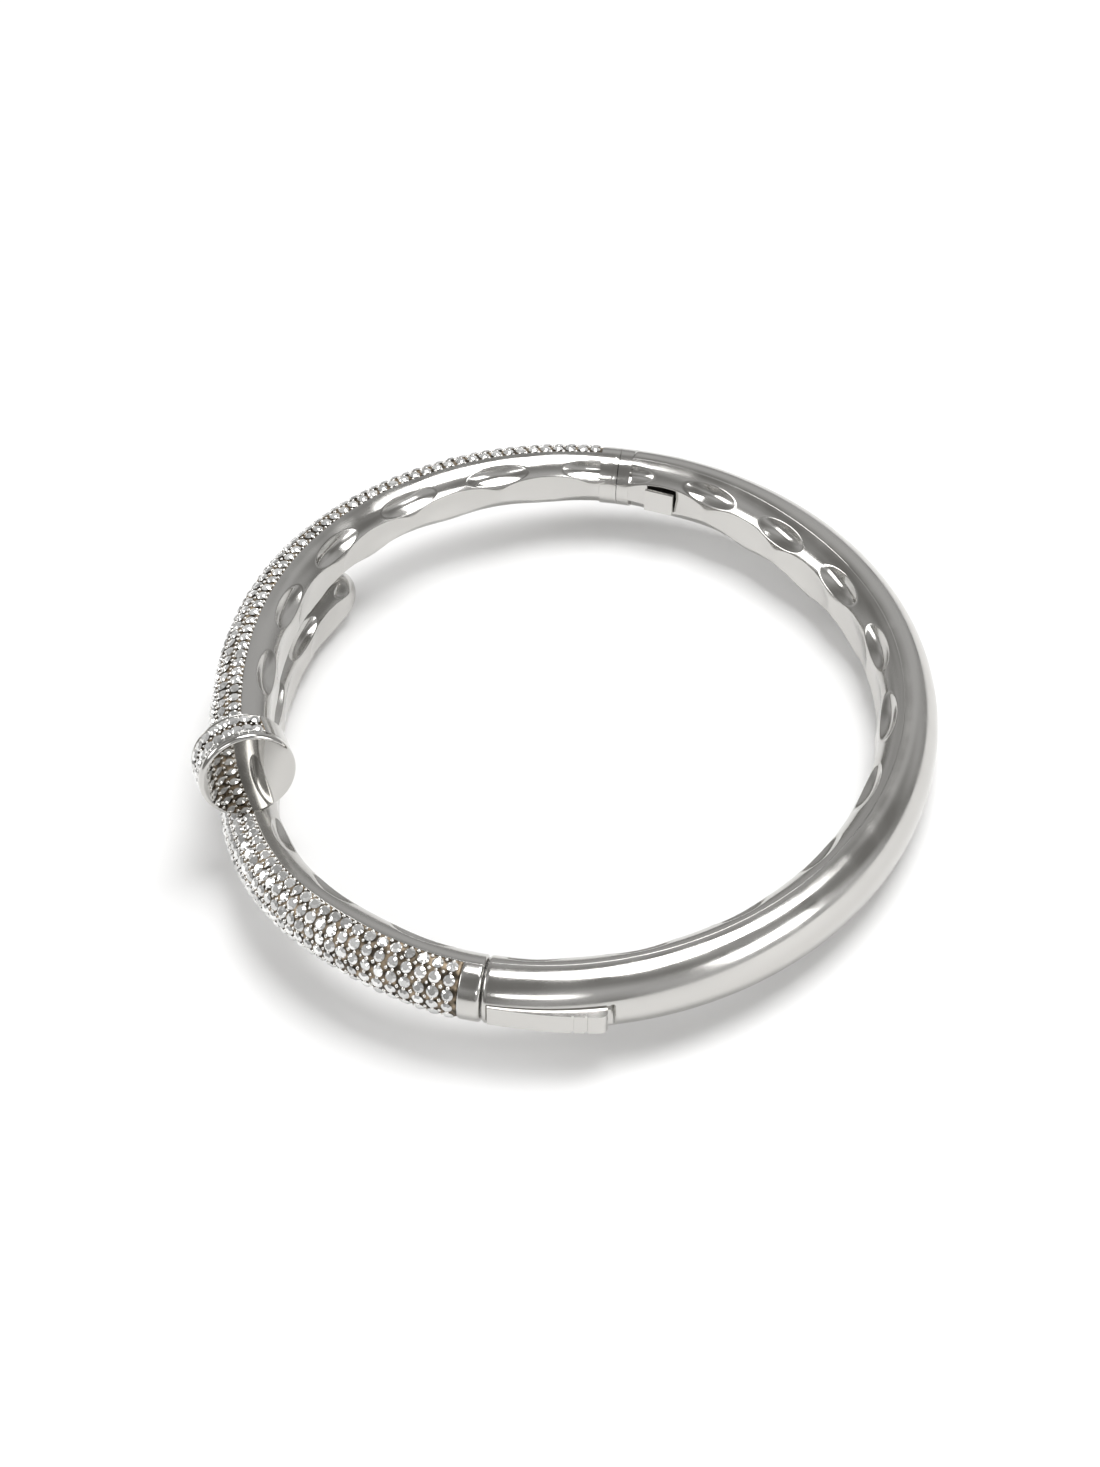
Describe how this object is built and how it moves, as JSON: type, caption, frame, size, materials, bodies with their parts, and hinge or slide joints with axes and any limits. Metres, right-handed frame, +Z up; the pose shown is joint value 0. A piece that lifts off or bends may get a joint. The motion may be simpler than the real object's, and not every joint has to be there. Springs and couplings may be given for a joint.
{
  "type": "bangle bracelet",
  "caption": "Hinged oval bangle in polished white metal; the stone-set front arms cross, one ending in a polished disc head. Lever clasp.",
  "frame": {"origin": "centre of the wrist opening, at the middle of the band's height", "axes": "+Z up along the wrist, +Y to the hinge, -Y to the clasp, -X to the stone-set front where its two arms cross"},
  "size_m": [0.0599, 0.0665, 0.0138],
  "materials": {
    "polished_white_metal": "mirror polished",
    "dimpled_inner_wall": "polished, with lens-shaped dimples",
    "stone_setting": "beaded setting, oxidised between the stones",
    "clear_stone": "faceted clear stone",
    "head_metal": "mirror polished",
    "lever_metal": "polished",
    "inner_works_metal": "satin"
  },
  "bodies": {
    "front_half": {"head_arm_bed": "stone_setting", "head_arm_inner_wall": "dimpled_inner_wall", "head_arm_row_1": "clear_stone", "head_arm_row_2": "clear_stone", "head_arm_row_3": "clear_stone", "head_arm_row_4": "clear_stone", "head_arm_row_5": "clear_stone", "head_arm_row_6": "clear_stone", "head_arm_row_7": "clear_stone", "head_band": "head_metal", "head_face": "head_metal", "head_stones": "clear_stone", "tip_arm_bed": "stone_setting", "tip_arm_inner_wall": "dimpled_inner_wall", "tip_arm_row_1": "clear_stone", "tip_arm_row_2": "clear_stone", "tip_arm_row_3": "clear_stone", "tip_arm_row_4": "clear_stone", "tip_arm_row_5": "clear_stone", "tip_arm_row_6": "clear_stone", "tip_arm_row_7": "clear_stone", "crossing_tip": "polished_white_metal", "front_hinge_end_cap": "polished_white_metal", "front_clasp_end_cap": "polished_white_metal", "tongue": "inner_works_metal", "hinge_leaf_front": "inner_works_metal"},
    "back_half": {"back_outer_shell": "polished_white_metal", "back_inner_wall": "dimpled_inner_wall", "back_hinge_end_cap": "polished_white_metal", "back_clasp_end_cap": "polished_white_metal", "hinge_leaf_back": "inner_works_metal", "hinge_pin": "inner_works_metal", "catch_box": "inner_works_metal", "lever_pin": "inner_works_metal", "lever_spring": "inner_works_metal", "hallmark_plate": "polished_white_metal"},
    "clasp_lever": {"clasp_lever": "lever_metal"}
  },
  "joints": [
    {"name": "main_hinge", "type": "hinge", "parent": "front_half", "child": "back_half", "pos_m": [0, 0.03202, 0], "axis": [0, 0, 1], "range_deg": [0, 40]},
    {"name": "clasp_lever_pivot", "type": "hinge", "parent": "back_half", "child": "clasp_lever", "pos_m": [0.00362, -0.03224, 0], "axis": [0, 0, 1], "range_deg": [0, 11], "stiffness_Nm_per_rad": 0.004, "deforming": ["lever_spring"]}
  ]
}
